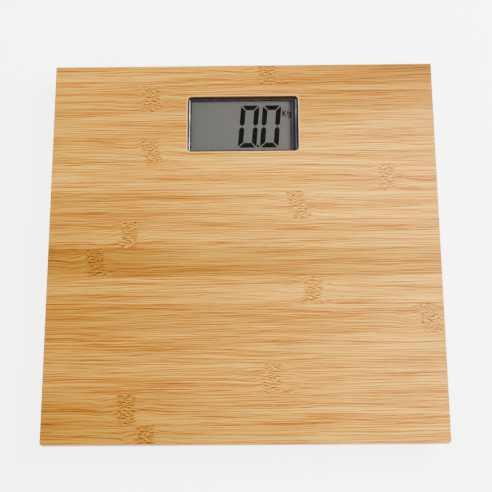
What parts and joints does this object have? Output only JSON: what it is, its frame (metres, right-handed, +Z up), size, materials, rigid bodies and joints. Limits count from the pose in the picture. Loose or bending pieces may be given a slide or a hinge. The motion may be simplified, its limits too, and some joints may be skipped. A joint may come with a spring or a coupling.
{
  "type": "digital bathroom scale",
  "caption": "Square bamboo bathroom scale with an inset display, underside electronics tray with hinged battery door, unit button and load-cell feet.",
  "frame": {"origin": "on the floor, under the middle of the platform", "axes": "+Z up through the platform, +Y towards the display edge, +X to the reader's right"},
  "size_m": [0.3, 0.3, 0.025],
  "materials": {
    "bamboo": "clear lacquered satin",
    "clear_lens": "polished clear acrylic",
    "black_gloss": "gloss",
    "lcd_glass": "polished glass",
    "lcd_film": "grey-green satin film",
    "white_plastic": "fine matt",
    "black_rubber": "matt",
    "zebra_rubber": "striped silicone",
    "circuit_green": "solder mask over glass-fibre laminate",
    "potting_black": "cast epoxy",
    "component_mix": "tinned ends and ceramic",
    "black_plastic": "fine spark-eroded texture",
    "grey_plastic": "fine matt",
    "battery_can": "printed jacket with a bare plus end",
    "bright_steel": "nickel plated",
    "stamped_steel": "stamped, fine grain",
    "silicone_white": "soft satin",
    "screw_zinc": "zinc plated",
    "wire_red": "satin",
    "wire_white": "satin",
    "wire_black": "satin",
    "paper_tape": "creped paper tape"
  },
  "bodies": {
    "platform": {"bamboo_platform": "bamboo", "display_lens": "clear_lens", "lens_tape": "black_rubber", "display_bezel": "black_gloss", "lcd_front_film": "lcd_glass", "lcd_front_glass": "lcd_glass", "lcd_rear_glass": "lcd_glass", "lcd_reflector": "lcd_film", "lcd_holder": "white_plastic", "zebra_strip": "zebra_rubber", "circuit_board": "circuit_green", "chip_potting": "potting_black", "circuit_components": "component_mix", "unit_switch": "black_plastic", "electronics_tray": "black_plastic", "battery_front": "battery_can", "battery_rear": "battery_can", "battery_link_contact": "bright_steel", "battery_plus_contact": "bright_steel", "battery_minus_contact": "bright_steel", "battery_springs": "bright_steel", "gauge_sealant": "silicone_white", "foot_screws": "screw_zinc", "tray_screws": "screw_zinc", "circuit_screws": "screw_zinc", "sensor_leads_red": "wire_red", "sensor_leads_white": "wire_white", "sensor_leads_black": "wire_black", "battery_lead_black": "wire_black", "battery_lead_red": "wire_red", "groove_tape": "paper_tape", "foot_mount_rear_right": "black_plastic", "load_cell_rear_right": "stamped_steel", "foot_mount_rear_left": "black_plastic", "load_cell_rear_left": "stamped_steel", "foot_mount_front_left": "black_plastic", "load_cell_front_left": "stamped_steel", "foot_mount_front_right": "black_plastic", "load_cell_front_right": "stamped_steel"},
    "battery_door": {"battery_door": "black_plastic"},
    "unit_button": {"unit_button": "grey_plastic", "unit_switch_plunger": "white_plastic"},
    "foot_rear_right": {"foot_shell_rear_right": "black_plastic", "foot_pad_rear_right": "black_rubber"},
    "foot_rear_left": {"foot_shell_rear_left": "black_plastic", "foot_pad_rear_left": "black_rubber"},
    "foot_front_left": {"foot_shell_front_left": "black_plastic", "foot_pad_front_left": "black_rubber"},
    "foot_front_right": {"foot_shell_front_right": "black_plastic", "foot_pad_front_right": "black_rubber"}
  },
  "joints": [
    {"name": "battery_door_hinge", "type": "hinge", "parent": "platform", "child": "battery_door", "pos_m": [0, 0.0604, 0.005], "axis": [1, 0, 0], "range_deg": [0, 100]},
    {"name": "unit_button_press", "type": "slide", "parent": "platform", "child": "unit_button", "axis": [0, 0, 1], "range_m": [0, 0.0004], "stiffness_N_per_m": 600, "springref_m": -0.0004},
    {"name": "foot_float_rear_right", "type": "slide", "parent": "platform", "child": "foot_rear_right", "axis": [0, 0, -1], "range_m": [0, 0.0008]},
    {"name": "foot_float_rear_left", "type": "slide", "parent": "platform", "child": "foot_rear_left", "axis": [0, 0, -1], "range_m": [0, 0.0008]},
    {"name": "foot_float_front_left", "type": "slide", "parent": "platform", "child": "foot_front_left", "axis": [0, 0, -1], "range_m": [0, 0.0008]},
    {"name": "foot_float_front_right", "type": "slide", "parent": "platform", "child": "foot_front_right", "axis": [0, 0, -1], "range_m": [0, 0.0008]}
  ]
}
